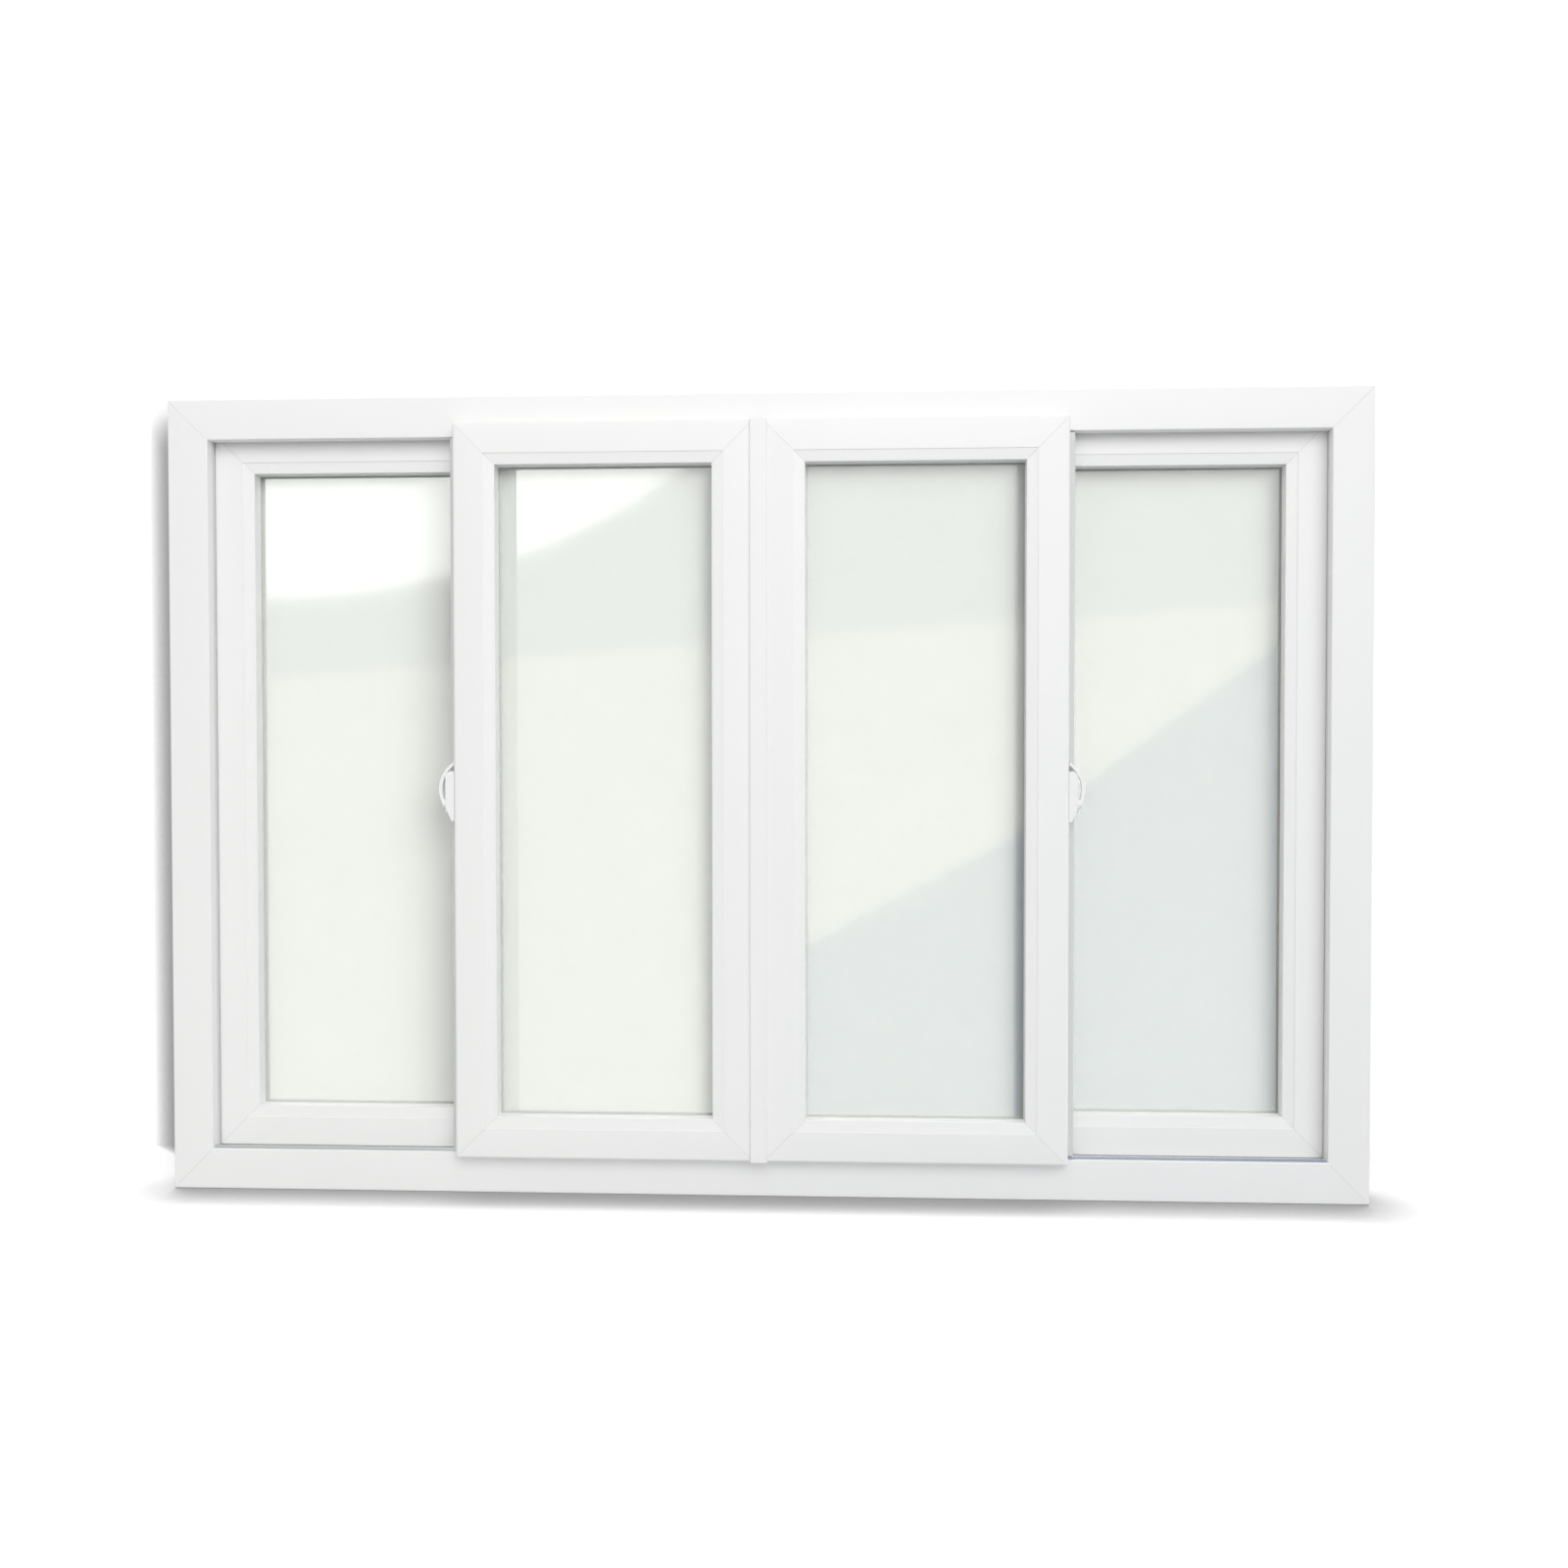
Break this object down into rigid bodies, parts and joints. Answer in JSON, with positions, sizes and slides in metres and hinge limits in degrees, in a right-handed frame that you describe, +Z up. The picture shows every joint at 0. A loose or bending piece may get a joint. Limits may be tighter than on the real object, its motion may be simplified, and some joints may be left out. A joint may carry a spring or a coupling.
{
  "type": "pvc sliding window",
  "caption": "White PVC sliding window with double glazed sashes on two tracks, glazing beads, interlocks, a meeting strip and crescent locks.",
  "frame": {"origin": "middle of the flat underside of the frame's sill, halfway across its width and its 80 mm depth", "axes": "+X along the sill to the right as seen from the room, +Y from the room to the outside, +Z up"},
  "size_m": [1.8, 0.1118, 1.2],
  "materials": {
    "white_pvc": "satin, extruded PVC",
    "white_pvc_bead": "satin, extruded PVC bead",
    "white_pvc_trim": "satin, extruded PVC trim",
    "clear_glass": "clear float glass, slightly green",
    "spacer_aluminium": "mill aluminium",
    "packer_plastic": "moulded plastic",
    "gasket_rubber": "matt grey rubber",
    "rail_aluminium": "satin anodised",
    "roller_nylon": "moulded nylon",
    "lock_plastic": "moulded white plastic"
  },
  "bodies": {
    "root": {"beads_1": "white_pvc_bead", "beads_2": "white_pvc_bead", "beads_3": "white_pvc_bead", "beads_4": "white_pvc_bead", "drain_covers": "white_pvc_trim", "frame_head": "white_pvc", "frame_jamb_left": "white_pvc", "frame_jamb_right": "white_pvc", "frame_sill": "white_pvc", "gaskets_1": "gasket_rubber", "gaskets_2": "gasket_rubber", "gaskets_3": "gasket_rubber", "gaskets_4": "gasket_rubber", "glass_1": "clear_glass", "glass_2": "clear_glass", "glass_3": "clear_glass", "glass_4": "clear_glass", "glass_packers": "packer_plastic", "glass_spacers": "spacer_aluminium", "interlocks_left": "white_pvc_trim", "interlocks_right": "white_pvc_trim", "lock_left": "lock_plastic", "lock_right": "lock_plastic", "meeting_strip": "white_pvc_trim", "rollers_front": "roller_nylon", "rollers_rear": "roller_nylon", "sash_1_bottom_rail": "white_pvc", "sash_1_left_stile": "white_pvc", "sash_1_right_stile": "white_pvc", "sash_1_top_rail": "white_pvc", "sash_2_bottom_rail": "white_pvc", "sash_2_left_stile": "white_pvc", "sash_2_right_stile": "white_pvc", "sash_2_top_rail": "white_pvc", "sash_3_bottom_rail": "white_pvc", "sash_3_left_stile": "white_pvc", "sash_3_right_stile": "white_pvc", "sash_3_top_rail": "white_pvc", "sash_4_bottom_rail": "white_pvc", "sash_4_left_stile": "white_pvc", "sash_4_right_stile": "white_pvc", "sash_4_top_rail": "white_pvc", "track_rails": "rail_aluminium"}
  },
  "joints": []
}
